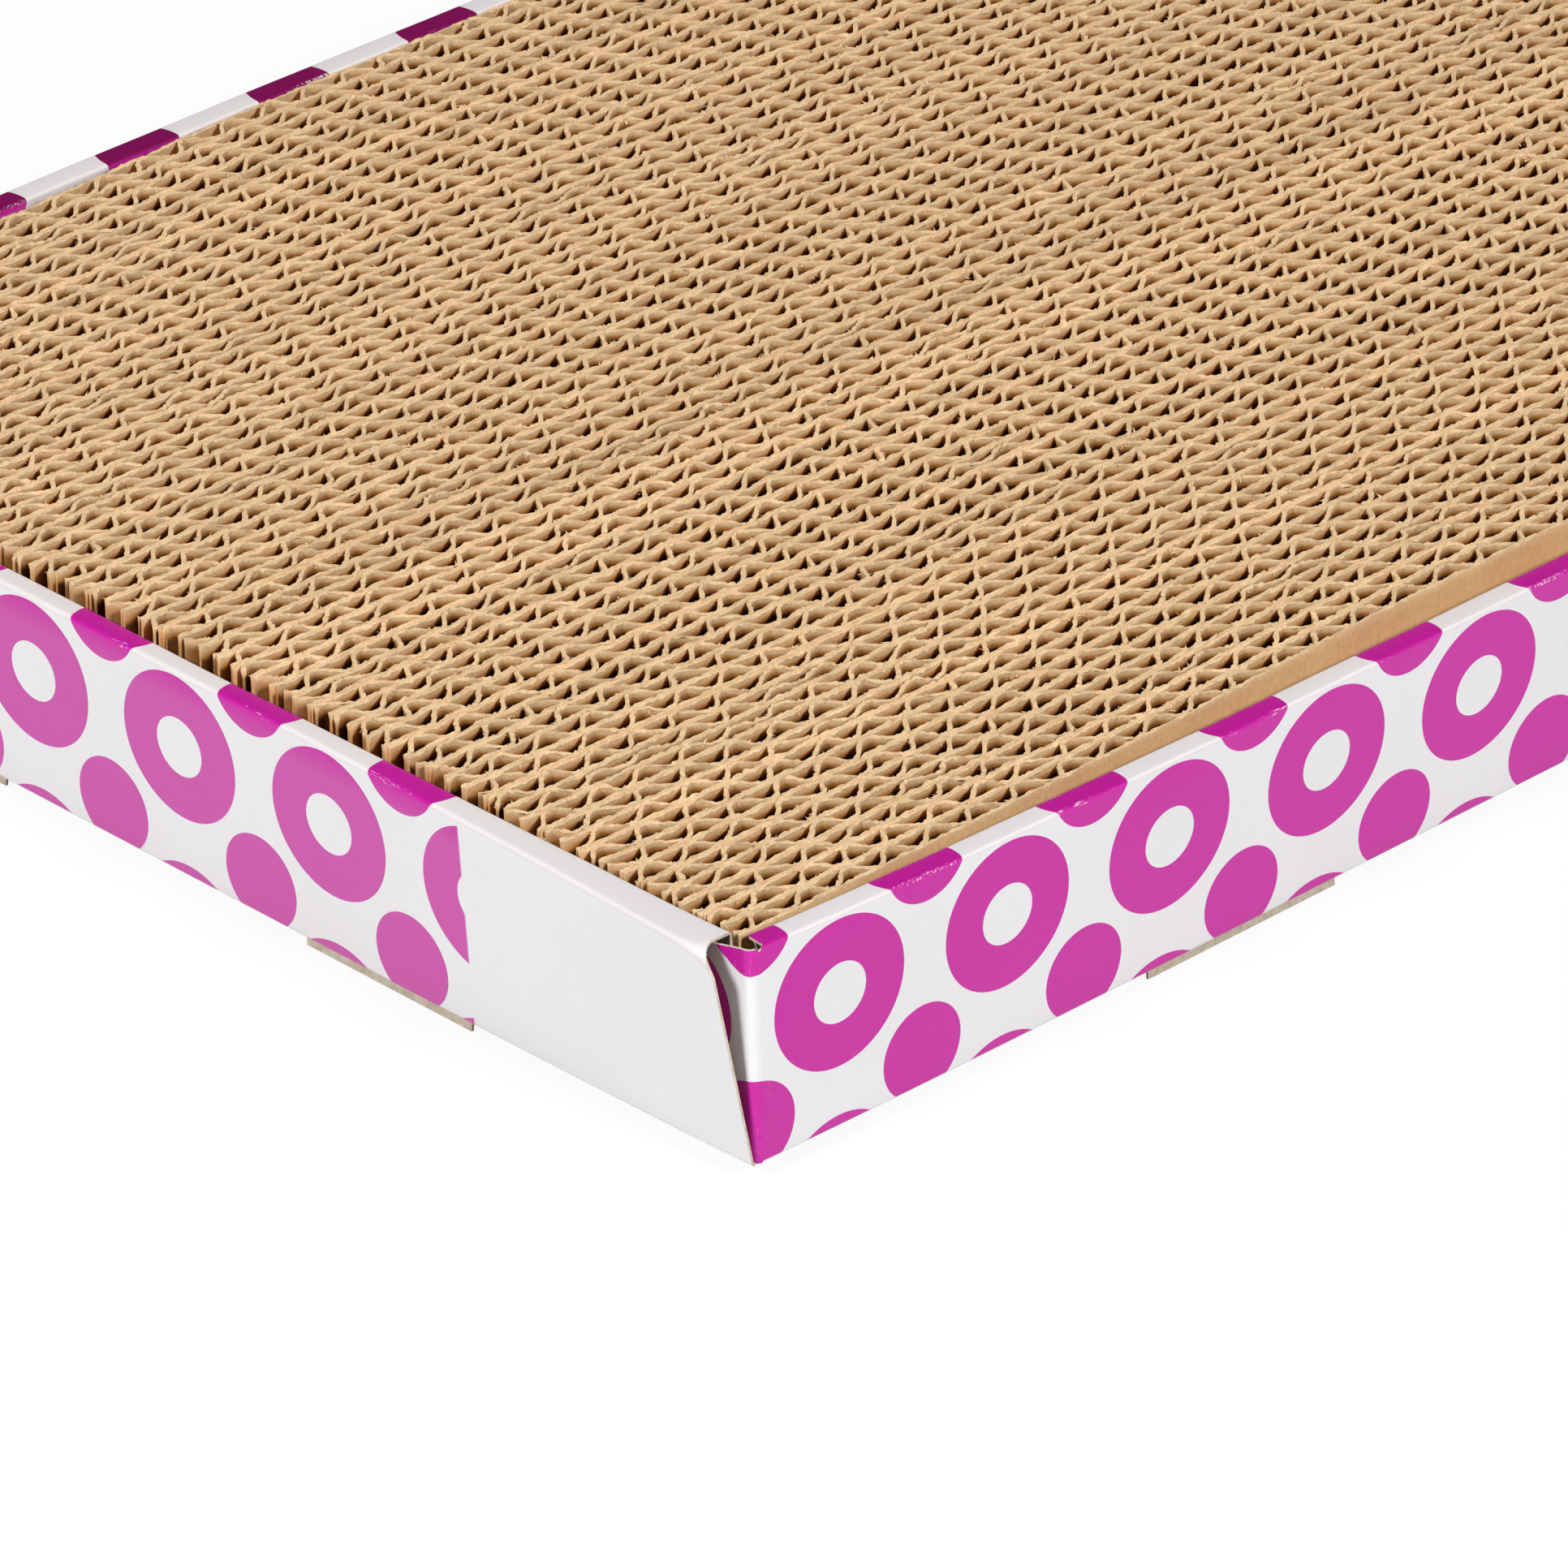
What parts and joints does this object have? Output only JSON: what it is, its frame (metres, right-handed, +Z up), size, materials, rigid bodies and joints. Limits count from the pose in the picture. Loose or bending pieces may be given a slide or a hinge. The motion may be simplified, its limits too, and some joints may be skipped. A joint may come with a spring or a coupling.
{
  "type": "cardboard cat scratcher",
  "caption": "Low cardboard cat scratcher: a pad of corrugated strips on edge lies loose in a folded printed board tray and lifts out.",
  "frame": {"origin": "middle of the tray's outline, on the floor that the tray's lock tabs stand on", "axes": "+X along the length of the tray and the strips, +Y across it, +Z up out of the tray"},
  "size_m": [0.457, 0.1874, 0.028],
  "materials": {
    "printed_board": "satin",
    "plain_board": "matte",
    "corrugated_board": "matte"
  },
  "bodies": {
    "tray": {"front_outer_wall": "printed_board", "front_top_strip": "printed_board", "rear_outer_wall": "printed_board", "rear_top_strip": "printed_board", "left_outer_wall": "printed_board", "left_top_strip": "printed_board", "right_outer_wall": "printed_board", "right_top_strip": "printed_board", "base_panel": "plain_board", "front_inner_panel": "plain_board", "rear_inner_panel": "plain_board", "left_inner_panel": "plain_board", "right_inner_panel": "plain_board", "front_left_flap": "plain_board", "rear_left_flap": "plain_board", "front_right_flap": "plain_board", "rear_right_flap": "plain_board"},
    "pad": {"pad_strips_01": "corrugated_board", "pad_strips_02": "corrugated_board", "pad_strips_03": "corrugated_board", "pad_strips_04": "corrugated_board", "pad_strips_05": "corrugated_board", "pad_strips_06": "corrugated_board", "pad_strips_07": "corrugated_board", "pad_strips_08": "corrugated_board", "pad_strips_09": "corrugated_board", "pad_strips_10": "corrugated_board", "pad_strips_11": "corrugated_board", "pad_strips_12": "corrugated_board", "pad_strips_13": "corrugated_board", "pad_strips_14": "corrugated_board", "pad_strips_15": "corrugated_board", "pad_strips_16": "corrugated_board", "pad_strips_17": "corrugated_board", "pad_strips_18": "corrugated_board", "pad_strips_19": "corrugated_board", "pad_strips_20": "corrugated_board", "pad_strips_21": "corrugated_board", "pad_strips_22": "corrugated_board", "pad_strips_23": "corrugated_board", "pad_strips_24": "corrugated_board", "pad_strips_25": "corrugated_board", "pad_strips_26": "corrugated_board", "pad_strips_27": "corrugated_board", "pad_strips_28": "corrugated_board", "pad_strips_29": "corrugated_board", "pad_strips_30": "corrugated_board"}
  },
  "joints": [
    {"name": "pad_lift", "type": "slide", "parent": "tray", "child": "pad", "axis": [0, 0, 1], "range_m": [0, 0.06]}
  ]
}
